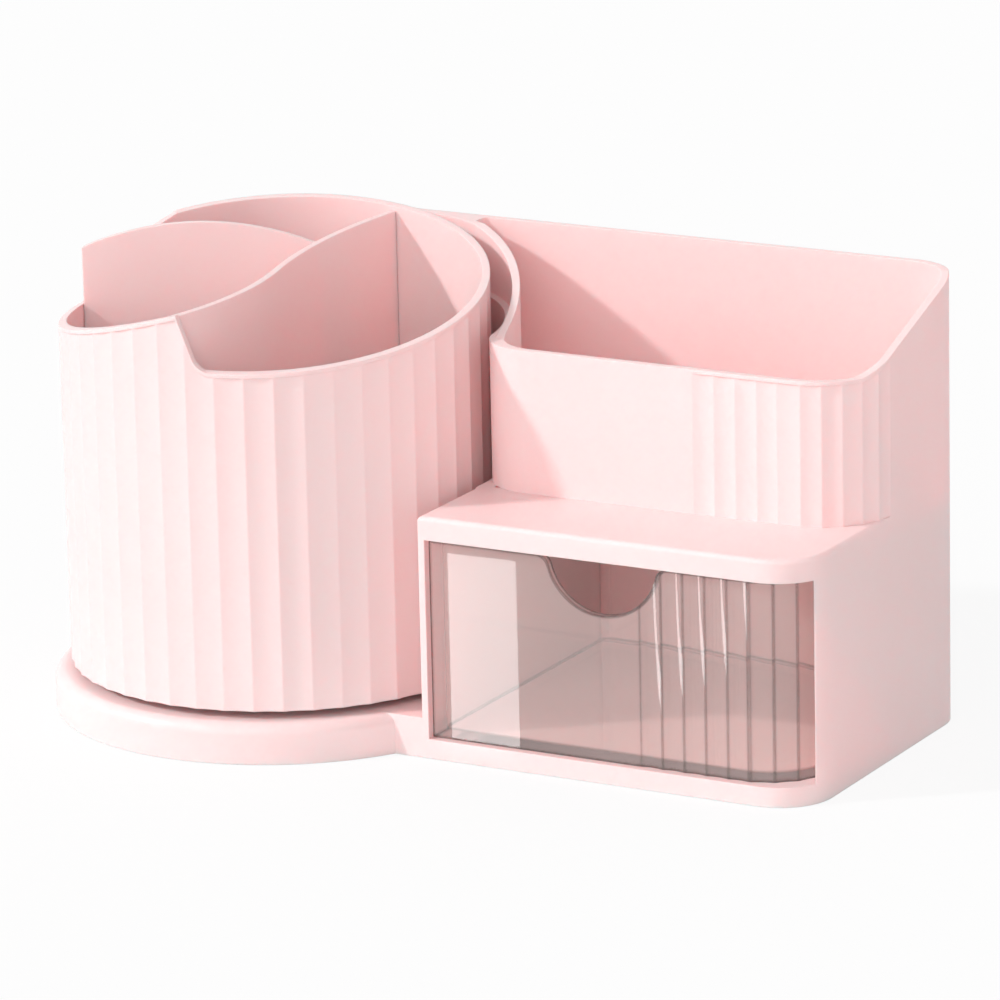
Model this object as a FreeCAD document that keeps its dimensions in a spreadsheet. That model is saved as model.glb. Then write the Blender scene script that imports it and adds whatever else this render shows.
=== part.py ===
import FreeCAD, Part
import os
import re
import Sketcher

# Makeup organizer: a box with a clear drawer and an open bin, beside a turning cup on a ball bearing.
# The cup turns about an upright axis, and +Y is the back. Lengths are millimetres, angles are degrees.

SIZES = {
    # plan of the whole
    "housing_lap": 0.4,
    "axis_to_back": 78.0,
    "disc_radius": 74.0,
    "disc_round": 3.6,
    "base_height": 13.2,
    "foot_rise": 0.2,
    "wall": 2.5,
    # drawer housing
    "housing_width": 133.4,
    "housing_depth": 117.5,
    "housing_height": 78.5,
    "housing_corner": 17.0,
    "back_corner": 18.8,
    "edge_round": 1.6,
    "jamb_wall": 2.2,
    "side_wall": 1.8,
    "cavity_floor": 6.5,
    "floor_wall": 2.2,
    "opening_top": 71.0,
    "lintel_top": 76.0,
    # open bin above the housing
    "bin_setback": 36.75,
    "bin_height": 145.4,
    "bin_floor": 74.0,
    "rim_front": 124.6,
    "slope_start": 47.7,
    "rim_slope": 19.4,
    "front_corner": 23.5,
    "recess_radius": 73.0,
    "ledge_width": 2.5,
    "recess_corner": 18.0,
    "horn_reach": 6.0,
    "horn_tip": 29.0,
    "horn_round": 2.0,
    # flutes of the bin, the drawer and the cup
    "flute_depth": 0.6,
    "flute_land": 0.3,
    "flute_lip": 1.3,
    "corner_pitch": 6.6,
    "corner_flutes": 5,
    "bin_pitch": 7.34,
    "bin_flutes": 5,
    # clear drawer
    "drawer_gap": 0.5,
    "drawer_lift": 0.3,
    "drawer_inset": 2.0,
    "drawer_wall": 2.4,
    "drawer_corner": 21.2,
    "drawer_back_round": 16.0,
    "drawer_small_round": 3.0,
    "drawer_pitch": 7.5,
    "drawer_flutes": 9,
    "notch_radius": 19.0,
    "notch_depth": 17.0,
    "notch_place": 63.0,
    "notch_round": 4.0,
    # turning cup
    "cup_clearance": 4.4,
    "cup_wall": 2.6,
    "cup_gap": 2.6,
    "cup_floor": 2.4,
    "cup_flutes": 46,
    "cup_flute_turn": -1.38,
    "high_rim": 137.3,
    "high_tilt": 10.7,
    "high_turn": 110.0,
    "left_rim": 144.9,
    "left_tilt": 16.0,
    "left_turn": 13.0,
    "left_start": 180.0,
    "shoulder_rim": 146.9,
    "shoulder_tilt": 22.8,
    "shoulder_turn": 59.0,
    "shoulder_start": 100.0,
    "notch_start": 279.9,
    "notch_foot": 7.0,
    "ramp_lean": 21.0,
    # divider insert
    "insert_gap": 0.3,
    "insert_wall": 2.2,
    "wave_x": 6.4,
    "wave_y": -9.4,
    "wave_front_radius": 104.0,
    "wave_back_radius": 173.0,
    "wave_tilt": 12.3,
    "wave_length": 85.0,
    "wave_rim": 144.1,
    "wave_rise": 2.5,
    "panel_turn": 27.5,
    "panel_join": 33.8,
    "arch_radius": 96.0,
    "arch_place": 38.3,
    "arch_peak": 152.2,
    # ball bearing under the cup
    "race_height": 2.2,
    "race_gap": 2.8,
    "race_inner": 34.0,
    "race_outer": 51.0,
    "ball_path_radius": 40.0,
    "ball_radius": 2.4,
    "ball_count": 12,
    "ball_fit": 0.05,
    "cage_width": 7.0,
    "cage_height": 1.6,
    "race_screw_path_radius": 47.5,
    "race_screw_count": 4,
    "race_screw_radius": 1.2,
    "race_screw_head": 2.4,
    "race_screw_bite": 2.0,
    "thread_fit": 0.05,
    # pivot
    "pivot_radius": 6.0,
    "pivot_fit": 0.05,
    "washer_radius": 10.0,
    "washer_height": 1.0,
    "washer_gap": 0.15,
    "pivot_screw_radius": 1.9,
    "pivot_screw_length": 8.0,
    "pivot_head_radius": 4.5,
    "pivot_head_height": 2.2,
    "pivot_slot_length": 5.4,
    "pivot_slot_width": 1.1,
    # rubber feet
    "foot_radius": 6.0,
    "foot_height": 2.2,
    "foot_round": 0.6,
    "foot_socket": 0.8,
    "foot_fit": 0.1,
    "foot_boss": 8.0,
    "foot_edge": 16.0,
    "disc_foot_path_radius": 56.0,
}

doc = FreeCAD.newDocument("makeup_organizer")
sizes = doc.addObject("Spreadsheet::Sheet", "sizes")
for row, (alias, size) in enumerate(SIZES.items(), start=1):
    sizes.set("A%d" % row, alias)
    sizes.set("B%d" % row, str(size))
    sizes.setAlias("B%d" % row, alias)
doc.recompute()

# Places worked out from the driving dimensions
AXIS_TO_SIDE = "(housing_width + recess_radius - housing_lap)"
SIDE_X = f"(({AXIS_TO_SIDE} + disc_radius) / 2)"
BACK_Y = "((axis_to_back + disc_radius) / 2)"
AXIS_X = f"({SIDE_X} - {AXIS_TO_SIDE})"
AXIS_Y = f"({BACK_Y} - axis_to_back)"
LEFT_X = f"({SIDE_X} - housing_width)"
FRONT_Y = f"({BACK_Y} - housing_depth)"
BIN_Y = f"({FRONT_Y} + bin_setback)"
HORN_X = f"({AXIS_X} + horn_reach)"
TIP_X = f"({HORN_X} + horn_tip)"
UPPER_RECESS = "(recess_radius + ledge_width)"
CUP_RADIUS = "(recess_radius - cup_clearance)"
CUP_HOLLOW = f"({CUP_RADIUS} - cup_wall)"
DISC_CEILING = "(base_height - wall)"
CUP_BOTTOM = "(base_height + cup_gap)"
CUP_CEILING = "(base_height + 2 * race_height + race_gap)"
CUP_INSIDE = f"({CUP_CEILING} + cup_floor)"
BALL_Z = "(base_height + race_height + race_gap / 2)"
MARGIN = "20"
CUTTER_TOP = "(arch_peak + 40)"


def full(expression):
    """The expression with each size name pointed at the spreadsheet."""
    def point(word):
        return "sizes." + word.group() if word.group() in SIZES else word.group()
    return re.sub(r"[a-z][a-z_]*", point, expression)


def value(expression):
    return float(sizes.evalExpression(full(expression)))


def bind(item, **expressions):
    for name, expression in expressions.items():
        item.setExpression(name, full(expression))


def put(item, x="0", y="0", z="0", turn="0", tilt="0"):
    """Places an item: tilted about its own X axis, then turned about the upright axis."""
    turned = f"rotation(vector(0; 0; 1); {turn}) * rotation(vector(1; 0; 0); {tilt})"
    item.setExpression("Placement", full(f"placement(vector({x}; {y}; {z}); {turned})"))


def box(name, low, high, turn="0", tilt="0"):
    """Box between two corners; a turn or tilt is about its low corner."""
    item = doc.addObject("Part::Box", name)
    bind(item, Length=f"({high[0]}) - ({low[0]})", Width=f"({high[1]}) - ({low[1]})")
    bind(item, Height=f"({high[2]}) - ({low[2]})")
    put(item, *low, turn=turn, tilt=tilt)
    return item


def cylinder(name, x, y, low, high, radius, start="0", sweep="360"):
    """Upright cylinder or sector of one."""
    item = doc.addObject("Part::Cylinder", name)
    bind(item, Radius=radius, Height=f"({high}) - ({low})", Angle=sweep)
    put(item, x, y, low, turn=start)
    return item


def cone(name, x, y, low, high, low_radius, high_radius):
    item = doc.addObject("Part::Cone", name)
    bind(item, Radius1=low_radius, Radius2=high_radius, Height=f"({high}) - ({low})")
    put(item, x, y, low)
    return item


def fuse(name, *items):
    item = doc.addObject("Part::MultiFuse", name)
    item.Shapes = list(items)
    return item


def common(name, *items):
    item = doc.addObject("Part::MultiCommon", name)
    item.Shapes = list(items)
    return item


def cut(name, base, tool):
    item = doc.addObject("Part::Cut", name)
    item.Base = base
    item.Tool = tool
    return item


def fillet(name, base, chosen):
    """Fillet of the edges for which chosen gives a radius."""
    doc.recompute()
    item = doc.addObject("Part::Fillet", name)
    item.Base = base
    radii = [(number, chosen(edge)) for number, edge in enumerate(base.Shape.Edges, start=1)]
    item.Edges = [(number, radius, radius) for number, radius in radii if radius]
    return item


def at_height(height, radius):
    """Choice of the edges that lie level at a height."""
    def chosen(edge):
        level = all(abs(end.Z - value(height)) < 0.001 for end in edge.Vertexes)
        return value(radius) if level else None
    return chosen


def at_corners(*corners):
    """Choice of the upright edges at corners, each a triple of x, y and radius."""
    def chosen(edge):
        for x, y, radius in corners:
            place = FreeCAD.Vector(value(x), value(y), 0)
            ends = [FreeCAD.Vector(end.X, end.Y, 0) for end in edge.Vertexes]
            if all(end.distanceToPoint(place) < 0.001 for end in ends):
                return value(radius)
        return None
    return chosen


def plane(body, role):
    return next(item for item in body.Origin.OriginFeatures if item.Role == role)


def sketch(body, name, role="XY_Plane", height=None):
    item = body.newObject("Sketcher::SketchObject", name)
    item.AttachmentSupport = (plane(body, role), [""])
    item.MapMode = "FlatFace"
    if height:
        item.setExpression("AttachmentOffset.Base.z", full(height))
    return item


def constrain(item, expression, *parts):
    """Constraint whose size follows an expression."""
    number = item.addConstraint(Sketcher.Constraint(*parts, value(expression)))
    item.setExpression("Constraints[%d]" % number, full(expression))


def add_circle(item, radius, x="0"):
    """Circle with its centre on the sketch's horizontal axis."""
    centre = FreeCAD.Vector(value(x), 0, 0)
    shape = Part.Circle(centre, FreeCAD.Vector(0, 0, 1), value(radius))
    number = item.addGeometry(shape, False)
    constrain(item, radius, "Radius", number)
    constrain(item, x, "DistanceX", -1, 1, number, 3)
    item.addConstraint(Sketcher.Constraint("PointOnObject", number, 3, -1))


def add_outline(item, points, arc=None):
    """Closed outline through points given as pairs of expressions. Its last side is straight, or
    a hollow arc of a given radius whose centre is above the first point."""
    corners = [FreeCAD.Vector(value(x), value(y), 0) for x, y in points]
    count = len(corners)
    for number in range(count - 1 if arc else count):
        line = Part.LineSegment(corners[number], corners[(number + 1) % count])
        item.addGeometry(line, False)
    if arc:
        centre = corners[0] + FreeCAD.Vector(0, value(arc), 0)
        outward = (corners[-1] - centre) + (corners[0] - centre)
        middle = centre + outward * (value(arc) / outward.Length)
        item.addGeometry(Part.Arc(corners[-1], middle, corners[0]), False)
    for number, (x, y) in enumerate(points):
        joined = Sketcher.Constraint("Coincident", number, 2, (number + 1) % count, 1)
        item.addConstraint(joined)
        constrain(item, x, "DistanceX", -1, 1, number, 1)
        constrain(item, y, "DistanceY", -1, 1, number, 1)
    if arc:
        constrain(item, arc, "Radius", count - 1)


def extrude(body, kind, profile, length, name, upward=True, midplane=False):
    """Pad or pocket; a pocket cuts downward unless told to go upward."""
    item = body.newObject("PartDesign::" + kind, name)
    item.Profile = profile
    item.Reversed = upward if kind == "Pocket" else not upward
    item.Midplane = midplane
    bind(item, Length=length)
    return item


def polar(body, feature, count, name):
    item = body.newObject("PartDesign::PolarPattern", name)
    item.Originals = [feature]
    item.Axis = (next(one for one in body.Origin.OriginFeatures if one.Role == "Z_Axis"), [""])
    item.Angle = 360
    bind(item, Occurrences=count)
    body.Tip = item
    return item


def new_body(name, x=AXIS_X, y=AXIS_Y, turn="0"):
    item = doc.addObject("PartDesign::Body", name)
    put(item, x, y, turn=turn)
    return item


def rounded_box(name, low, high, *corners):
    """Box with upright edges rounded; each corner is named by its sides and has a radius."""
    sides = {"left": low[0], "right": high[0], "front": low[1], "back": high[1]}
    plain = box(name + "_block", low, high)
    places = [(sides[across], sides[along], radius) for across, along, radius in corners]
    return fillet(name, plain, at_corners(*places))


def flute_bend(chord, corner=None):
    """Radius of a flute's hollow across a chord, on a flat face or on a rounded corner."""
    bulge = f"({corner} - sqrt({corner}^2 - {chord}^2 / 4))" if corner else "0"
    depth = f"(flute_depth - {bulge})"
    return f"(({chord}^2 / 4 + {depth}^2) / (2 * {depth}))"


def flute_cutters(name, side_x, front_y, corner, flutes, low, high):
    """Upright cutters along a front and round its right corner; each flute is a run and a chord."""
    cutters = []
    for number, (run, chord) in enumerate(flutes, start=1):
        if value(run) < value(f"{corner} * pi / 2"):
            radius = flute_bend(chord, corner)
            reach = f"({corner} + {radius} - flute_depth)"
            angle = f"({run} / {corner} * 180 / pi)"
            x = f"{side_x} - {corner} + {reach} * cos({angle})"
            y = f"{front_y} + {corner} - {reach} * sin({angle})"
        else:
            radius = flute_bend(chord)
            x = f"{side_x} - {corner} - ({run} - {corner} * pi / 2)"
            y = f"{front_y} - {radius} + flute_depth"
        cutters.append(cylinder(f"{name}_{number}", x, y, low, high, radius))
    return fuse(name, *cutters)


def flute_row(pitch, count, start="0"):
    """Runs and chords of a row of flutes."""
    return [(f"({start} + {number + 0.5} * {pitch})", f"({pitch} - flute_land)")
            for number in range(int(value(count)))]


def polar_place(centre_x, centre_y, radius, angle):
    return f"{centre_x} + {radius} * cos({angle})", f"{centre_y} + {radius} * sin({angle})"


# Places of the rubber feet: four under the housing and two under the disc
FEET = [
    (f"{SIDE_X} - foot_edge", f"{FRONT_Y} + foot_edge", "cavity_floor - floor_wall"),
    (f"{SIDE_X} - foot_edge", f"{BACK_Y} - foot_edge", "cavity_floor - floor_wall"),
    (f"{LEFT_X} + foot_edge", f"{FRONT_Y} + foot_edge", "cavity_floor - floor_wall"),
    (f"{LEFT_X} + foot_edge", f"{BACK_Y} - foot_edge", "cavity_floor - floor_wall"),
    (*polar_place(AXIS_X, AXIS_Y, "disc_foot_path_radius", "150"), DISC_CEILING),
    (*polar_place(AXIS_X, AXIS_Y, "disc_foot_path_radius", "210"), DISC_CEILING),
]


def recess_corner(name, recess, front_y, corner):
    """Space that rounds the corner between a recess and a front face above the housing."""
    reach = f"({recess} + {corner})"
    y = f"({front_y} + {corner})"
    x = f"({AXIS_X} + sqrt({reach}^2 - ({y} - {AXIS_Y})^2))"
    touch = f"({y} - {corner} * ({y} - {AXIS_Y}) / {reach})"
    block = box(name + "_block", (AXIS_X, f"{front_y} - wall", "housing_height"), (x, touch, CUTTER_TOP))
    round_part = cylinder(name + "_round", x, y, "housing_height", CUTTER_TOP, corner)
    return cut(name, block, round_part)


def bin_rim(name, drop):
    """Spaces above the bin's level rim and its sloping rim, lowered by a drop."""
    slope_y = f"({FRONT_Y} + slope_start)"
    low = f"(rim_front - {drop})"
    level = box(name + "_level", (f"{HORN_X} - {MARGIN}", f"{BIN_Y} - {MARGIN}", low),
                (f"{SIDE_X} + {MARGIN}", slope_y, CUTTER_TOP))
    tilted = box(name + "_tilted", (f"{HORN_X} - {MARGIN}", slope_y, low),
                 (f"{SIDE_X} + {MARGIN}", f"{BACK_Y} + {MARGIN}", CUTTER_TOP), tilt="rim_slope")
    return level, tilted


def main_body():
    """Base disc, plate, drawer housing and bin, moulded in one piece."""
    # outer form
    disc_block = cylinder("disc_block", AXIS_X, AXIS_Y, "foot_rise", "base_height", "disc_radius")
    disc = fillet("disc", disc_block, at_height("base_height", "disc_round"))
    plate = box("plate", (HORN_X, FRONT_Y, "foot_rise"), (f"{LEFT_X} + wall", BACK_Y, "base_height"))
    housing_block = rounded_box("housing_block", (LEFT_X, FRONT_Y, "foot_rise"),
                                (SIDE_X, BACK_Y, "housing_height"),
                                ("right", "front", "housing_corner"), ("right", "back", "back_corner"))
    housing = fillet("housing", housing_block, at_height("housing_height", "edge_round"))
    tower = rounded_box("tower", (HORN_X, BIN_Y, "foot_rise"), (SIDE_X, BACK_Y, "bin_height"),
                        ("right", "front", "front_corner"), ("right", "back", "back_corner"),
                        ("left", "back", "horn_round"))
    recess = cylinder("recess", AXIS_X, AXIS_Y, "base_height", CUTTER_TOP, "recess_radius")
    upper = cylinder("upper_recess_space", AXIS_X, AXIS_Y, "rim_front", CUTTER_TOP, UPPER_RECESS)
    walls = cut("walls", fuse("wall_blocks", housing, tower), fuse("recesses", recess, upper))
    outer_corner = recess_corner("outer_corner", "recess_radius", BIN_Y, "recess_corner")
    rounded_walls = cut("rounded_walls", walls, outer_corner)
    outer = fuse("outer", disc, plate, rounded_walls)

    # space inside the bin, bounded by the wall behind the cup
    bin_block = rounded_box("bin_block", (TIP_X, f"{BIN_Y} + wall", "bin_floor"),
                            (f"{SIDE_X} - wall", f"{BACK_Y} - wall", CUTTER_TOP),
                            ("right", "front", "front_corner - wall"),
                            ("right", "back", "back_corner - wall"),
                            ("left", "back", "horn_round"))
    bin_wall = cylinder("bin_wall", AXIS_X, AXIS_Y, f"bin_floor - {MARGIN}", CUTTER_TOP,
                        f"{UPPER_RECESS} + wall")
    inner_corner = recess_corner("inner_corner", f"({UPPER_RECESS} + wall)", f"({BIN_Y} + wall)",
                                 "(recess_corner - wall)")
    bin_space = cut("bin_space", bin_block, fuse("bin_sides", bin_wall, inner_corner))

    # drawer cavity, open at the front and round the front right corner
    cavity = rounded_box("cavity", (f"{LEFT_X} + jamb_wall", f"{FRONT_Y} - {MARGIN}", "cavity_floor"),
                         (f"{SIDE_X} - side_wall", f"{BACK_Y} - wall", "opening_top"),
                         ("right", "back", "back_corner - side_wall"))
    ledge = rounded_box("ledge", (f"{LEFT_X} + jamb_wall", f"{FRONT_Y} + wall", "opening_top - wall"),
                        (f"{SIDE_X} - side_wall", BIN_Y, "lintel_top"),
                        ("right", "front", "housing_corner - side_wall"))

    # hollows under the floor
    below = f"foot_rise - {MARGIN}"
    under_housing = rounded_box("under_housing", (f"{LEFT_X} + wall", f"{FRONT_Y} + wall", below),
                                (f"{SIDE_X} - wall", f"{BACK_Y} - wall", "cavity_floor - floor_wall"),
                                ("right", "front", "housing_corner - wall"),
                                ("right", "back", "back_corner - wall"))
    under_disc = cylinder("under_disc", AXIS_X, AXIS_Y, below, DISC_CEILING, "disc_radius - wall")
    under_plate = box("under_plate", (f"{HORN_X} + wall", f"{FRONT_Y} + wall", below),
                      (LEFT_X, f"{BACK_Y} - wall", DISC_CEILING))
    horn_block = box("horn_block", (f"{TIP_X} - horn_tip / 2", AXIS_Y, f"{DISC_CEILING} - wall"),
                     (LEFT_X, f"{BACK_Y} - wall", "bin_floor - wall"))
    horn_wall = cylinder("horn_wall", AXIS_X, AXIS_Y, "0", CUTTER_TOP, "recess_radius + wall")
    horn_hollow = cut("horn_hollow", horn_block, horn_wall)

    hollows = fuse("hollows", *bin_rim("bin_rim", "0"), bin_space, cavity, ledge, under_housing,
                   under_disc, under_plate, horn_hollow)
    shell = cut("shell", outer, hollows)

    # bosses and sockets of the feet, bore of the pivot and holes of the race's screws
    boss_low = "foot_height - foot_socket"
    bosses = [cylinder(f"foot_boss_{number}", x, y, boss_low, f"{ceiling} + wall / 2", "foot_boss")
              for number, (x, y, ceiling) in enumerate(FEET, start=1)]
    solid = fuse("bossed_shell", shell, *bosses)
    sockets = [cylinder(f"foot_socket_{number}", x, y, "0", "foot_height", "foot_radius + foot_fit")
               for number, (x, y, _) in enumerate(FEET, start=1)]
    bore = cylinder("pivot_bore", AXIS_X, AXIS_Y, "0", f"base_height + {MARGIN}", "pivot_radius + pivot_fit")
    screw_holes = []
    for number in range(int(value("race_screw_count"))):
        x, y = polar_place(AXIS_X, AXIS_Y, "race_screw_path_radius", f"({number} * 360 / race_screw_count)")
        hole = cylinder(f"base_screw_hole_{number + 1}", x, y, "base_height - race_screw_bite",
                        f"base_height + {MARGIN}", "race_screw_radius + thread_fit")
        screw_holes.append(hole)
    rows = flute_row("corner_pitch", "corner_flutes")
    rows += flute_row("bin_pitch", "bin_flutes", "corner_flutes * corner_pitch")
    cutters = flute_cutters("bin_flute", SIDE_X, BIN_Y, "front_corner", rows, "housing_height", CUTTER_TOP)
    flutes = cut("bin_flutes_below_lip", cutters, fuse("bin_lip", *bin_rim("lowered_rim", "flute_lip")))
    holes = fuse("body_holes", bore, flutes, *sockets, *screw_holes)
    return cut("main_body", solid, holes)


def drawer_tub():
    """Clear drawer with a fluted front, a finger notch and a rounded front right corner."""
    left = f"({LEFT_X} + jamb_wall + drawer_gap)"
    right = f"({SIDE_X} - side_wall - drawer_gap)"
    front = f"({FRONT_Y} + drawer_inset)"
    back = f"({BACK_Y} - wall - drawer_gap)"
    low = "(cavity_floor + drawer_lift)"
    high = "(opening_top - drawer_gap)"
    outside = rounded_box("drawer_outside", (left, front, low), (right, back, high),
                          ("right", "front", "drawer_corner"), ("right", "back", "drawer_back_round"),
                          ("left", "back", "drawer_small_round"))
    inside = rounded_box("drawer_inside",
                         (f"{left} + drawer_wall", f"{front} + drawer_wall", f"{low} + drawer_wall"),
                         (f"{right} - drawer_wall", f"{back} - drawer_wall", f"{high} + {MARGIN}"),
                         ("right", "front", "drawer_corner - drawer_wall"),
                         ("right", "back", "drawer_back_round - drawer_wall"),
                         ("left", "back", "drawer_small_round"), ("left", "front", "drawer_small_round"))
    row = flute_row("drawer_pitch", "drawer_flutes")
    flutes = flute_cutters("drawer_flute", right, front, "drawer_corner", row,
                           f"{low} - {MARGIN}", f"{high} + {MARGIN}")
    return cut("drawer_tub", outside, fuse("drawer_spaces", inside, flutes, finger_notch(front, high)))


def across_front(name, x, y, z, radius):
    """Level cylinder through the drawer's front wall."""
    item = doc.addObject("Part::Cylinder", name)
    bind(item, Radius=radius, Height="3 * drawer_wall")
    put(item, x, f"{y} + 2 * drawer_wall", z, tilt="90")
    return item


def finger_notch(front, high):
    """Round notch in the front's top edge, with flared shoulders."""
    middle = f"({LEFT_X} + notch_place)"
    span = "(notch_radius + notch_round)"
    rise = f"({span} - notch_depth)"
    bowl_z = f"({high} - notch_depth + notch_radius)"
    shoulder_z = f"({high} - notch_round)"
    reach = f"sqrt({span}^2 - {rise}^2)"
    touch_z = f"({bowl_z} - notch_radius * {rise} / {span})"
    bowl = across_front("notch_bowl", middle, front, bowl_z, "notch_radius")
    mouth = box("notch_mouth", (f"{middle} - {reach}", f"{front} - drawer_wall", touch_z),
                (f"{middle} + {reach}", f"{front} + 1.5 * drawer_wall", f"{high} + {MARGIN}"))
    left = across_front("notch_left_shoulder", f"{middle} - {reach}", front, shoulder_z, "notch_round")
    right = across_front("notch_right_shoulder", f"{middle} + {reach}", front, shoulder_z, "notch_round")
    return fuse("finger_notch", bowl, cut("flared_mouth", mouth, fuse("shoulders", left, right)))


def rim_slab(name, turn, middle, tilt):
    """Space above a tilted rim that passes through a height on the cup's axis."""
    body = new_body(name, turn=turn)
    profile = sketch(body, name + "_profile", "XZ_Plane")
    reach = "(2 * disc_radius)"
    rise = f"({reach} * tan({tilt}))"
    add_outline(profile, [(f"-{reach}", f"{middle} - {rise}"), (reach, f"{middle} + {rise}"),
                          (reach, f"{middle} + {rise} + arch_peak"),
                          (f"-{reach}", f"{middle} - {rise} + arch_peak")])
    extrude(body, "Pad", profile, f"2 * {reach}", name + "_pad", midplane=True)
    return body


def cup_blank():
    """Plain cup with a level rim, its floor, skirt and pivot boss."""
    body = new_body("cup_blank")
    outside = sketch(body, "cup_outside", height=CUP_BOTTOM)
    add_circle(outside, CUP_RADIUS)
    extrude(body, "Pad", outside, f"arch_peak - {CUP_BOTTOM}", "cup_block")
    inside = sketch(body, "cup_inside", height=CUP_INSIDE)
    add_circle(inside, CUP_HOLLOW)
    extrude(body, "Pocket", inside, f"arch_peak + {MARGIN} - {CUP_INSIDE}", "cup_space", upward=True)
    skirt = sketch(body, "cup_skirt", height=CUP_BOTTOM)
    add_circle(skirt, CUP_HOLLOW)
    extrude(body, "Pocket", skirt, f"{CUP_CEILING} - {CUP_BOTTOM}", "skirt_space", upward=True)
    boss = sketch(body, "pivot_boss", height=f"{DISC_CEILING} - washer_gap")
    add_circle(boss, "pivot_radius")
    extrude(body, "Pad", boss, f"{CUP_CEILING} + cup_floor / 2 - {DISC_CEILING} + washer_gap", "boss")
    thread = sketch(body, "pivot_thread", height=f"{DISC_CEILING} - washer_gap")
    add_circle(thread, "pivot_screw_radius + thread_fit")
    extrude(body, "Pocket", thread, "pivot_screw_length", "thread_space", upward=True)
    hole = sketch(body, "cup_screw_place", height=CUP_CEILING)
    add_circle(hole, "race_screw_radius + thread_fit", "race_screw_path_radius")
    first_hole = extrude(body, "Pocket", hole, "race_screw_bite", "cup_screw_hole", upward=True)
    polar(body, first_hole, "race_screw_count", "cup_screw_holes")
    return body


def rim_spaces(name, drop):
    """Space above the cup's rim, lowered by a drop: a high rim, a shoulder at its back, a steep
    rim on the left and the ramp of the notch in front."""
    high_slab = rim_slab(name + "_high", "high_turn", f"(high_rim - {drop})", "high_tilt")
    back_slab = rim_slab(name + "_shoulder", "shoulder_turn", f"(shoulder_rim - {drop})", "shoulder_tilt")
    left_slab = rim_slab(name + "_left", "left_turn", f"(left_rim - {drop})", "left_tilt")
    far = "(2 * disc_radius)"
    bend = "(notch_foot * tan(45 - ramp_lean / 2))"
    high_start = f"(notch_start - 360 + {bend} / {CUP_RADIUS} * 180 / pi)"

    def sector(part, start, stop):
        return cylinder(f"{name}_{part}_sector", AXIS_X, AXIS_Y, "0", CUTTER_TOP, far, start,
                        f"{stop} - {start}")

    ramp = new_body(name + "_ramp", turn="notch_start")
    profile = sketch(ramp, name + "_ramp_profile", "YZ_Plane", height=f"{CUP_RADIUS} / 2")
    foot = f"(high_rim - {CUP_RADIUS} * tan(high_tilt) - {drop})"
    lean = f"({MARGIN} * tan(ramp_lean))"
    add_outline(profile, [(bend, foot), (MARGIN, foot), (MARGIN, CUTTER_TOP), (f"-{lean}", CUTTER_TOP),
                          (f"-{lean}", f"{foot} + {MARGIN}"),
                          (f"-{bend} * sin(ramp_lean)", f"{foot} + {bend} * cos(ramp_lean)")],
                arc="notch_foot")
    extrude(ramp, "Pad", profile, CUP_RADIUS, name + "_ramp_pad")
    high_reach = fuse(name + "_high_reach", sector("high", high_start, "left_start"), ramp)
    return fuse(name, common(name + "_high_cut", high_slab, high_reach),
                common(name + "_shoulder_cut", back_slab, sector("shoulder", "shoulder_start", "left_start")),
                common(name + "_left_cut", left_slab, sector("left", "left_start", "notch_start")))


def cup_shell():
    """Cup cut by its slanted rims, with flutes that stop at a lip below them."""
    chord = f"(2 * pi * {CUP_RADIUS} / cup_flutes - flute_land)"
    radius = flute_bend(chord, CUP_RADIUS)
    cutters = []
    for number in range(int(value("cup_flutes"))):
        x, y = polar_place(AXIS_X, AXIS_Y, f"({CUP_RADIUS} + {radius} - flute_depth)",
                           f"({number} * 360 / cup_flutes + cup_flute_turn)")
        cutter = cylinder(f"cup_flute_{number + 1}", x, y, f"{CUP_BOTTOM} - {MARGIN}", CUTTER_TOP, radius)
        cutters.append(cutter)
    flutes = cut("cup_flutes_below_lip", fuse("cup_flutes", *cutters), rim_spaces("cup_lip", "flute_lip"))
    return cut("cup_shell", cup_blank(), fuse("cup_cuts", rim_spaces("cup_rim", "0"), flutes))


def wave_half(name, side, radius, turn):
    """Half of the waved divider, a sector of a ring about a centre to one side of the middle."""
    centre_x = f"{AXIS_X} + wave_x {side} {radius} * cos(wave_tilt)"
    centre_y = f"{AXIS_Y} + wave_y {side} {radius} * sin(wave_tilt)"
    sweep = f"(wave_length / {radius} * 180 / pi)"
    start = f"wave_tilt + {turn} - {sweep}"
    outer = cylinder(name + "_outer", centre_x, centre_y, CUP_INSIDE, CUTTER_TOP,
                     f"{radius} + insert_wall / 2", start, sweep)
    inner = cylinder(name + "_inner", centre_x, centre_y, CUP_INSIDE, CUTTER_TOP,
                     f"{radius} - insert_wall / 2", start, sweep)
    return cut(name, outer, inner)


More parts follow.
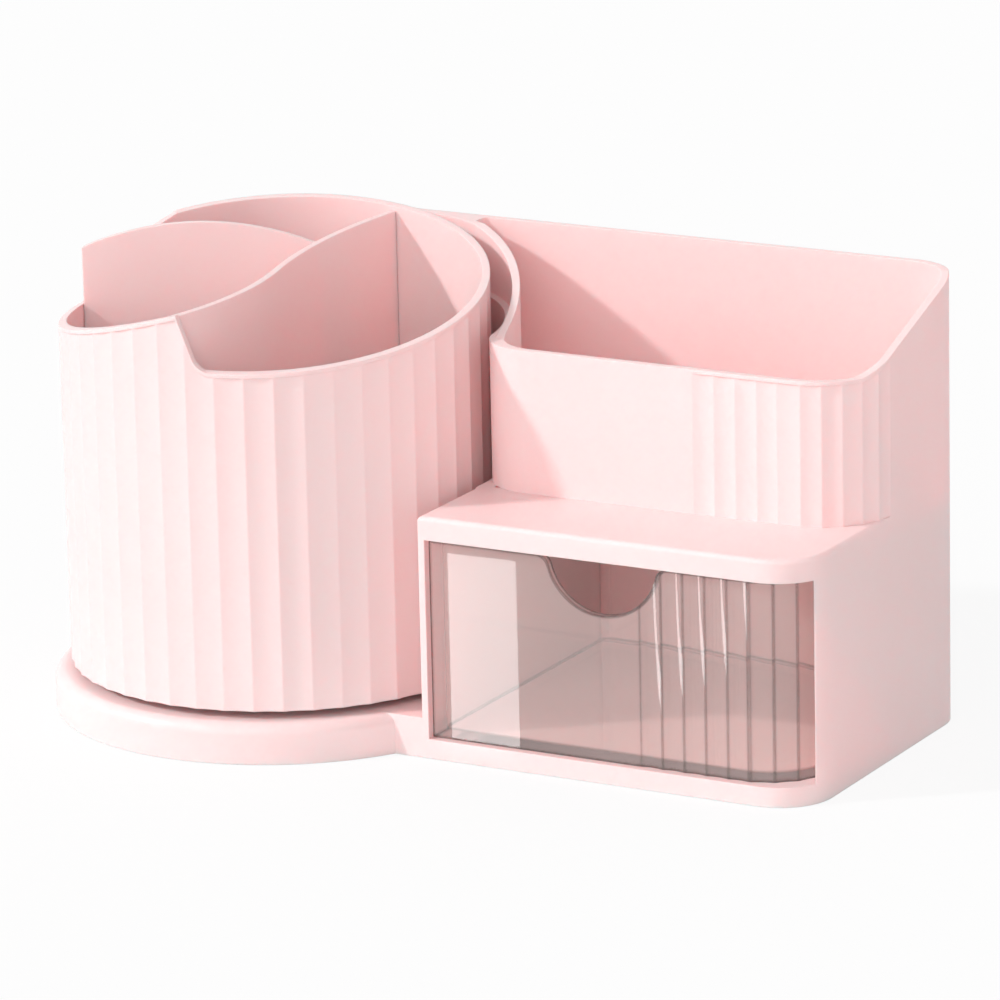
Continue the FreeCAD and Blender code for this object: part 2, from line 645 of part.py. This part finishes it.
def divider_insert():
    """Waved divider across the cup and an arched panel that meets it, slid into the cup."""
    wave = fuse("wave", wave_half("wave_front", "-", "wave_front_radius", "0"),
                wave_half("wave_back", "+", "wave_back_radius", "180"))
    wave_body = rim_slab("wave_slab", "90", "wave_rim", "wave_rise")
    low_wave = cut("low_wave", wave, wave_body)
    bounds = cylinder("insert_bounds", AXIS_X, AXIS_Y, CUP_INSIDE, CUTTER_TOP,
                      f"{CUP_HOLLOW} - insert_gap")

    bend = "sqrt(wave_back_radius^2 - (wave_back_radius * sin(wave_tilt) - panel_join)^2)"
    join_x = f"({AXIS_X} + wave_x + wave_back_radius * cos(wave_tilt) - {bend})"
    join_y = f"({AXIS_Y} + wave_y + panel_join)"
    back_x = f"({join_x} - insert_wall * sin(panel_turn))"
    back_y = f"({join_y} + insert_wall * cos(panel_turn))"
    panel = box("panel", (back_x, back_y, CUP_INSIDE),
                (f"{back_x} + 2 * {CUP_RADIUS}", f"{back_y} + insert_wall", CUTTER_TOP),
                turn="panel_turn + 180")
    arch = doc.addObject("Part::Cylinder", "arch")
    bind(arch, Radius="arch_radius", Height="4 * insert_wall")
    arch_x = f"{join_x} - arch_place * cos(panel_turn) - 2 * insert_wall * sin(panel_turn)"
    arch_y = f"{join_y} - arch_place * sin(panel_turn) + 2 * insert_wall * cos(panel_turn)"
    put(arch, arch_x, arch_y, "arch_peak - arch_radius", turn="panel_turn", tilt="90")
    arched = common("arched_panel", panel, arch)
    return common("divider_insert", fuse("dividers", low_wave, arched), bounds)


def race(name, low, high, seat, groove):
    """Bearing ring with a ball groove and countersunk screw holes that open away from its seat."""
    ring = cut(name + "_ring", cylinder(name + "_outer", AXIS_X, AXIS_Y, low, high, "race_outer"),
               cylinder(name + "_inner", AXIS_X, AXIS_Y, f"{low} - {MARGIN}", f"{high} + {MARGIN}",
                        "race_inner"))
    torus = doc.addObject("Part::Torus", groove)
    bind(torus, Radius1="ball_path_radius", Radius2="ball_radius + ball_fit")
    put(torus, AXIS_X, AXIS_Y, BALL_Z)
    screws = fuse(name + "_screw_spaces", *screw_set(name + "_space", low, high, seat, "thread_fit"))
    return cut(name, ring, fuse(name + "_spaces", torus, screws))


def screw_set(name, low, high, seat, fit):
    """Countersunk screws on a circle; their points pass the seat, at the ring's low or high face."""
    screws = []
    for number in range(int(value("race_screw_count"))):
        x, y = polar_place(AXIS_X, AXIS_Y, "race_screw_path_radius", f"({number} * 360 / race_screw_count)")
        label = f"{name}_{number + 1}"
        head = "(race_screw_head - race_screw_radius)"
        shank_radius = f"race_screw_radius + {fit}"
        head_radius = f"race_screw_head + {fit}"
        if seat == "low":
            shank = cylinder(label + "_shank", x, y, f"{low} - race_screw_bite", high, shank_radius)
            tip = cone(label + "_head", x, y, f"{high} - {head}", high, shank_radius, head_radius)
        else:
            shank = cylinder(label + "_shank", x, y, low, f"{high} + race_screw_bite", shank_radius)
            tip = cone(label + "_head", x, y, low, f"{low} + {head}", head_radius, shank_radius)
        screws.append(fuse(label, shank, tip))
    return screws


def ball_cage():
    """Flat ring that keeps the balls apart."""
    body = new_body("ball_cage")
    ring = sketch(body, "cage_ring", height=f"{BALL_Z} - cage_height / 2")
    add_circle(ring, "ball_path_radius + cage_width / 2")
    add_circle(ring, "ball_path_radius - cage_width / 2")
    extrude(body, "Pad", ring, "cage_height", "cage_pad")
    hole = sketch(body, "cage_hole_place", height=f"{BALL_Z} - cage_height")
    add_circle(hole, "ball_radius + ball_fit", "ball_path_radius")
    first = extrude(body, "Pocket", hole, "2 * cage_height", "cage_hole", upward=True)
    polar(body, first, "ball_count", "cage_holes")
    return body


def bearing_ball(number):
    item = doc.addObject("Part::Sphere", f"ball_{number + 1:02d}")
    bind(item, Radius="ball_radius")
    x, y = polar_place(AXIS_X, AXIS_Y, "ball_path_radius", f"({number} * 360 / ball_count)")
    put(item, x, y, BALL_Z)
    return item


def pivot_screw():
    """Screw that holds the cup's boss down on the base from below."""
    seat = f"({DISC_CEILING} - washer_gap - washer_height)"
    length = "pivot_screw_length + washer_height - thread_fit"
    head = cylinder("pivot_head", AXIS_X, AXIS_Y, f"{seat} - pivot_head_height", seat, "pivot_head_radius")
    shank = cylinder("pivot_shank", AXIS_X, AXIS_Y, seat, f"{seat} + {length}", "pivot_screw_radius")
    arm = "(pivot_slot_length / 2)"
    bar = "(pivot_slot_width / 2)"
    slot_low = f"{seat} - 2 * pivot_head_height"
    slot_high = f"{seat} - pivot_head_height / 2"
    along = box("slot_along", (f"{AXIS_X} - {arm}", f"{AXIS_Y} - {bar}", slot_low),
                (f"{AXIS_X} + {arm}", f"{AXIS_Y} + {bar}", slot_high))
    across = box("slot_across", (f"{AXIS_X} - {bar}", f"{AXIS_Y} - {arm}", slot_low),
                 (f"{AXIS_X} + {bar}", f"{AXIS_Y} + {arm}", slot_high))
    return cut("pivot_screw", fuse("pivot_screw_body", head, shank), fuse("cross_slot", along, across))


def pivot_washer():
    high = f"({DISC_CEILING} - washer_gap)"
    disc = cylinder("washer_disc", AXIS_X, AXIS_Y, f"{high} - washer_height", high, "washer_radius")
    hole = cylinder("washer_hole", AXIS_X, AXIS_Y, "0", high, "pivot_screw_radius + thread_fit")
    return cut("pivot_washer", disc, hole)


def foot(number, x, y):
    """Rubber foot, rounded where it meets the table."""
    block = cylinder(f"foot_block_{number}", x, y, "0", "foot_height", "foot_radius")
    return fillet(f"foot_{number}", block, at_height("0", "foot_round"))


LOWER = ("base_height", "(base_height + race_height)")
UPPER = ("(base_height + race_height + race_gap)", CUP_CEILING)

pieces = [
    main_body(),
    drawer_tub(),
    cup_shell(),
    divider_insert(),
    race("bearing_lower_race", *LOWER, "low", "lower_groove"),
    race("bearing_upper_race", *UPPER, "high", "upper_groove"),
    ball_cage(),
    fuse("lower_race_screws", *screw_set("lower_screw", *LOWER, "low", "0")),
    fuse("upper_race_screws", *screw_set("upper_screw", *UPPER, "high", "0")),
    pivot_screw(),
    pivot_washer(),
]
pieces += [bearing_ball(number) for number in range(int(value("ball_count")))]
pieces += [foot(number, x, y) for number, (x, y, _) in enumerate(FEET, start=1)]
doc.recompute()

# Nothing is written unless every object is sound
for item in doc.Objects:
    if "Invalid" in item.State or "Error" in item.State:
        raise RuntimeError(f"{item.Name} has failed: {item.State}")
for piece in pieces:
    if piece.Shape.isNull() or not piece.Shape.isValid():
        raise RuntimeError(f"{piece.Label} has no valid shape")

os.makedirs("parts", exist_ok=True)
for piece in pieces:
    piece.Shape.exportStep(f"parts/{piece.Label}.step")
    bounds = piece.Shape.BoundBox
    print(f"{piece.Label}: {len(piece.Shape.Solids)} solid(s), {piece.Shape.Volume:.0f} mm3,"
          f" z {bounds.ZMin:.2f} to {bounds.ZMax:.2f}")
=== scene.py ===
import math

import bpy
from mathutils import Matrix, Vector

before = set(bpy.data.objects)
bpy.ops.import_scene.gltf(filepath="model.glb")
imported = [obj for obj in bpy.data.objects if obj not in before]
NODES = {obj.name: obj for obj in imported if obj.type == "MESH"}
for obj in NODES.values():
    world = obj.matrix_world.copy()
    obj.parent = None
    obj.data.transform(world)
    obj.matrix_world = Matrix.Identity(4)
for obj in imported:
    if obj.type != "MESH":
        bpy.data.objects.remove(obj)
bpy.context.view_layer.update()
MM = 0.001

# Usual range of a noise texture's value
NOISE_LOW, NOISE_HIGH = 0.3, 0.7

# How alike the true and the rounded normal are off an edge and on it, for the dark shade painted along
# the drawer's edges
PAINTED_SHADE_START, PAINTED_SHADE_FULL = 0.999, 0.982


# Material helpers

def new_tree(name, kind="materials"):
    """A new material or world with an empty node tree, and that tree."""
    block = getattr(bpy.data, kind).new(name)
    block.use_nodes = True
    block.node_tree.nodes.clear()
    return block, block.node_tree


def add(tree, kind, inputs=None, **settings):
    """A node of that kind. An input is a plain value, or the socket that feeds it."""
    node = tree.nodes.new("ShaderNode" + kind)
    for name, value in settings.items():
        setattr(node, name, value)
    for name, value in (inputs or {}).items():
        socket = node.inputs[name]
        if isinstance(value, bpy.types.NodeSocket):
            tree.links.new(value, socket)
        else:
            socket.default_value = value
    return node


def noise(tree, scale, detail=3.0, roughness=0.5):
    """The value of a noise texture with that many features a metre, in the row frame."""
    where = add(tree, "TexCoord").outputs["Object"]
    return add(tree, "TexNoise", {"Vector": where, "Scale": scale, "Detail": detail,
                                  "Roughness": roughness}).outputs["Fac"]


def spread(tree, value, low, high):
    """Takes a noise value from its usual range to one between low and high."""
    return add(tree, "MapRange", {"Value": value, "From Min": NOISE_LOW, "From Max": NOISE_HIGH,
                                  "To Min": low, "To Max": high}).outputs["Result"]


def blend_colours(tree, share, first, second):
    """A colour between two, by a share from 0 to 1."""
    node = add(tree, "Mix", data_type="RGBA")
    tree.links.new(share, node.inputs[0])
    node.inputs[6].default_value = (*first, 1.0)
    node.inputs[7].default_value = (*second, 1.0)
    return node.outputs[2]


def bumped(tree, height, depth, rounding=0.0):
    """A normal with that height texture on it, and soft edges where a rounding is given."""
    inputs = {"Height": height, "Strength": 1.0, "Distance": depth}
    if rounding:
        inputs["Normal"] = add(tree, "Bevel", {"Radius": rounding}, samples=6).outputs["Normal"]
    return add(tree, "Bump", inputs).outputs["Normal"]


def joined(tree, first, second):
    """The larger of two light path shares."""
    return add(tree, "Math", {0: first, 1: second}, operation="MAXIMUM").outputs[0]


def mix_shaders(tree, share, first, second):
    """A shader between two, by a share from 0 to 1."""
    both = add(tree, "MixShader", {"Fac": share})
    tree.links.new(first.outputs[0], both.inputs[1])
    tree.links.new(second.outputs[0], both.inputs[2])
    return both


def finish_material(tree, surface, volume=None):
    """Links the surface shader, and the volume shader if there is one, to the material's output."""
    out = add(tree, "OutputMaterial")
    tree.links.new(surface.outputs[0], out.inputs["Surface"])
    if volume:
        tree.links.new(volume.outputs[0], out.inputs["Volume"])


def paint(material, *names):
    """Gives the CAD nodes of those names the material in all their slots."""
    for name in names:
        mesh = NODES[name].data
        mesh.materials.clear()
        mesh.materials.append(material)


def numbered(stem, count, digits):
    """The names of a row of nodes, such as ball_01 to ball_12."""
    return [f"{stem}_{i:0{digits}d}" for i in range(1, count + 1)]


# Blush pink moulding: satin, a little translucent, with a fine moulded grain

def moulded_plastic(name, first, second, glow):
    """Satin plastic of two close colours in soft clouds, with a share of light that glows through it."""
    material, tree = new_tree(name)
    cloud = spread(tree, noise(tree, 14.0), 0.0, 1.0)
    shader = add(tree, "BsdfPrincipled", {
        "Base Color": blend_colours(tree, cloud, first, second),
        "Roughness": spread(tree, noise(tree, 90.0), 0.40, 0.48),
        "IOR": 1.46,
        "Subsurface Weight": glow,
        "Subsurface Radius": (1.0, 0.16, 0.15),
        "Subsurface Scale": 4.0 * MM,
        "Normal": bumped(tree, noise(tree, 2600.0, 2.0), 0.012 * MM, 0.5 * MM),
    })
    finish_material(tree, shader)
    return material


PINK = moulded_plastic("blush_plastic", (0.955, 0.705, 0.70), (0.945, 0.685, 0.68), 0.6)
WHITE = moulded_plastic("white_plastic", (0.84, 0.83, 0.80), (0.80, 0.79, 0.76), 0.1)
paint(PINK, "main_body", "cup_shell", "divider_insert")
paint(WHITE, "ball_cage")


# Smoky clear drawer: tinted, with shade painted as dark lines along its edges and flute ridges

def painted_edge_shade(tree, width):
    """A share that is 1 on the sharp edges of the mesh and falls to 0 within that width of them; it marks
    where dark shade is painted.
    """
    rounded = add(tree, "Bevel", {"Radius": width}, samples=4).outputs["Normal"]
    flat = add(tree, "NewGeometry").outputs["True Normal"]
    likeness = add(tree, "VectorMath", {0: rounded, 1: flat}, operation="DOT_PRODUCT").outputs["Value"]
    return add(tree, "MapRange", {"Value": likeness, "From Min": PAINTED_SHADE_START, "From Max": PAINTED_SHADE_FULL,
                                  "To Min": 0.0, "To Max": 1.0}).outputs["Result"]


def smoky_plastic():
    """Clear, faintly hazy plastic, with painted shade: its colour goes near black along its edges and
    flute ridges, in place of the darkness refraction gives there. Lamp and soft light pass straight
    through.
    """
    material, tree = new_tree("smoky_plastic")
    # Painted shade: the colour turns near black on the edges and flute ridges
    colour = blend_colours(tree, painted_edge_shade(tree, 1.5 * MM), (0.975, 0.87, 0.845), (0.05, 0.02, 0.016))
    glass = add(tree, "BsdfPrincipled", {
        "Base Color": colour,
        "Roughness": spread(tree, noise(tree, 60.0), 0.02, 0.05),
        "IOR": 1.05,
        "Transmission Weight": 0.90,
        "Coat Weight": 1.0,
        "Coat IOR": 1.6,
        "Coat Roughness": 0.02,
        "Normal": bumped(tree, noise(tree, 45.0, 1.0), 0.010 * MM),
    })
    clear = add(tree, "BsdfTransparent", {"Color": (0.995, 0.99, 0.99, 1.0)})
    path = add(tree, "LightPath").outputs
    light_ray = joined(tree, path["Is Shadow Ray"], path["Is Diffuse Ray"])
    tint = add(tree, "VolumeAbsorption", {"Color": (0.60, 0.20, 0.14, 1.0), "Density": 3.0})
    finish_material(tree, mix_shaders(tree, light_ray, glass, clear), tint)
    return material


paint(smoky_plastic(), "drawer_tub")


# Hidden metal and rubber

def metal(name, colour, dark, low, high):
    """Steel with dark clouds, its roughness between low and high."""
    material, tree = new_tree(name)
    cloud = spread(tree, noise(tree, 260.0, 4.0), 0.0, 1.0)
    shader = add(tree, "BsdfPrincipled", {
        "Base Color": blend_colours(tree, cloud, colour, dark),
        "Metallic": 1.0,
        "Roughness": spread(tree, noise(tree, 900.0, 4.0), low, high),
        "Normal": bumped(tree, noise(tree, 3000.0, 2.0), 0.008 * MM, 0.2 * MM),
    })
    finish_material(tree, shader)
    return material


def rubber():
    """Pale rubber of the feet."""
    material, tree = new_tree("foot_rubber")
    cloud = spread(tree, noise(tree, 300.0), 0.0, 1.0)
    shader = add(tree, "BsdfPrincipled", {
        "Base Color": blend_colours(tree, cloud, (0.60, 0.58, 0.56), (0.52, 0.50, 0.49)),
        "Roughness": spread(tree, noise(tree, 500.0), 0.62, 0.78),
        "Normal": bumped(tree, noise(tree, 2200.0, 3.0), 0.03 * MM, 0.3 * MM),
    })
    finish_material(tree, shader)
    return material


ZINC = metal("zinc_steel", (0.66, 0.67, 0.68), (0.56, 0.57, 0.59), 0.26, 0.42)
BRIGHT = metal("bright_steel", (0.74, 0.74, 0.74), (0.69, 0.69, 0.70), 0.07, 0.14)
paint(ZINC, "bearing_lower_race", "bearing_upper_race", "lower_race_screws", "upper_race_screws",
      "pivot_screw", "pivot_washer")
paint(BRIGHT, *numbered("ball", 12, 2))
paint(rubber(), *numbered("foot", 6, 1))


# Camera, found from the straight edges and circles in the photograph

AZIMUTH, ELEVATION, ROLL = (math.radians(a) for a in (28.976, 15.446, -1.277))
ASIDE, ALOFT, AWAY = -93.119 * MM, 95.231 * MM, 2011.436 * MM
FIT_ORIGIN = Vector((140.0, -41.5, 0.0)) * MM
LENS, SENSOR = 239.04, 36.0
NEAR, FAR = 0.05, 50.0


def make_camera():
    """The camera that took the photograph, placed in its own axes from the fit's origin."""
    back = Vector((math.sin(AZIMUTH) * math.cos(ELEVATION),
                   -math.cos(AZIMUTH) * math.cos(ELEVATION), math.sin(ELEVATION)))
    level = Vector((math.cos(AZIMUTH), math.sin(AZIMUTH), 0.0))
    upright = back.cross(level)
    right = math.cos(ROLL) * level + math.sin(ROLL) * upright
    up = math.cos(ROLL) * upright - math.sin(ROLL) * level
    data = bpy.data.cameras.new("camera")
    data.sensor_width, data.lens = SENSOR, LENS
    data.clip_start, data.clip_end = NEAR, FAR
    camera = bpy.data.objects.new("camera", data)
    turn = Matrix((right, up, back)).transposed()
    place = right * ASIDE + up * ALOFT + back * AWAY + FIT_ORIGIN
    camera.matrix_world = Matrix.Translation(place) @ turn.to_4x4()
    bpy.context.scene.collection.objects.link(camera)
    bpy.context.scene.camera = camera


make_camera()


# White floor that keeps a soft shadow, and light from the left in front

FLOOR_REACH = 8.0
FLOOR_GREY = (0.86, 0.86, 0.86, 1.0)
FLOOR_GLOW = 0.88
STRIP_CORNERS = [(8.6, -52.6), (32.9, -52.6), (-73.3, -245.0), (-99.6, -244.0)]
STRIP_HEIGHT = 0.3
LAMP_DISTANCE = 2.0


def plain_rays(tree):
    """1 for rays from the camera, a mirror or through glass, and 0 for the rest."""
    path = add(tree, "LightPath").outputs
    first = joined(tree, path["Is Camera Ray"], path["Is Glossy Ray"])
    return joined(tree, first, path["Is Transmission Ray"])


def stage_sheet(name, corners, material):
    """A flat sheet of the stage with those corners, given anticlockwise from above."""
    mesh = bpy.data.meshes.new(name)
    mesh.from_pydata(corners, [], [range(len(corners))])
    mesh.materials.append(material)
    sheet = bpy.data.objects.new(name, mesh)
    bpy.context.scene.collection.objects.link(sheet)
    return sheet


def make_floor():
    """A floor that glows white to plain rays and shows the object's shadow a little."""
    material, tree = new_tree("floor")
    share = add(tree, "Math", {0: plain_rays(tree), 1: FLOOR_GLOW}, operation="MULTIPLY").outputs[0]
    grey = add(tree, "BsdfDiffuse", {"Color": FLOOR_GREY})
    white = add(tree, "Emission", {"Strength": 1.0})
    finish_material(tree, mix_shaders(tree, share, grey, white))
    sides = [(-1, -1), (1, -1), (1, 1), (-1, 1)]
    stage_sheet("floor", [(x * FLOOR_REACH, y * FLOOR_REACH, 0.0) for x, y in sides], material)


def make_world(level, overhead):
    """White to the camera. Its light goes from one strength at the horizon to another overhead."""
    world, tree = new_tree("studio", "worlds")
    split = add(tree, "SeparateXYZ", {0: add(tree, "TexCoord").outputs["Generated"]})
    ambient = add(tree, "MapRange", {"Value": split.outputs[2], "To Min": level, "To Max": overhead})
    strength = add(tree, "MapRange", {"Value": plain_rays(tree), "To Max": 1.0,
                                      "To Min": ambient.outputs["Result"]})
    sky = add(tree, "Background", {"Color": (1.0, 1.0, 1.0, 1.0),
                                   "Strength": strength.outputs["Result"]})
    tree.links.new(sky.outputs[0], add(tree, "OutputWorld").inputs["Surface"])
    bpy.context.scene.world = world


def make_sun(name, azimuth, elevation, strength, spread_angle, colour):
    """A distant lamp. Its azimuth is counted from +X towards +Y, in degrees."""
    a, e = math.radians(azimuth), math.radians(elevation)
    towards = Vector((math.cos(a) * math.cos(e), math.sin(a) * math.cos(e), math.sin(e)))
    data = bpy.data.lights.new(name, "SUN")
    data.energy, data.angle, data.color = strength, math.radians(spread_angle), colour
    lamp = bpy.data.objects.new(name, data)
    lamp.rotation_mode = "QUATERNION"
    lamp.rotation_quaternion = towards.to_track_quat("Z", "Y")
    lamp.location = towards * LAMP_DISTANCE
    bpy.context.scene.collection.objects.link(lamp)


def make_strip(strength):
    """A bright strip on the floor that only gloss mirrors, for the upright band in the drawer's front."""
    material, tree = new_tree("strip")
    finish_material(tree, add(tree, "Emission", {"Strength": strength}))
    corners = [(x * MM, y * MM, STRIP_HEIGHT * MM) for x, y in reversed(STRIP_CORNERS)]
    strip = stage_sheet("strip", corners, material)
    strip.visible_camera = strip.visible_diffuse = False
    strip.visible_shadow = strip.visible_transmission = False


make_floor()
make_strip(6.0)
make_world(0.84, 0.46)
make_sun("key", 219.0, 34.0, 1.8, 4.0, (1.0, 0.985, 0.985))
make_sun("fill", 280.0, 22.0, 0.8, 50.0, (1.0, 0.99, 0.985))
bpy.context.scene.view_settings.view_transform = "Standard"
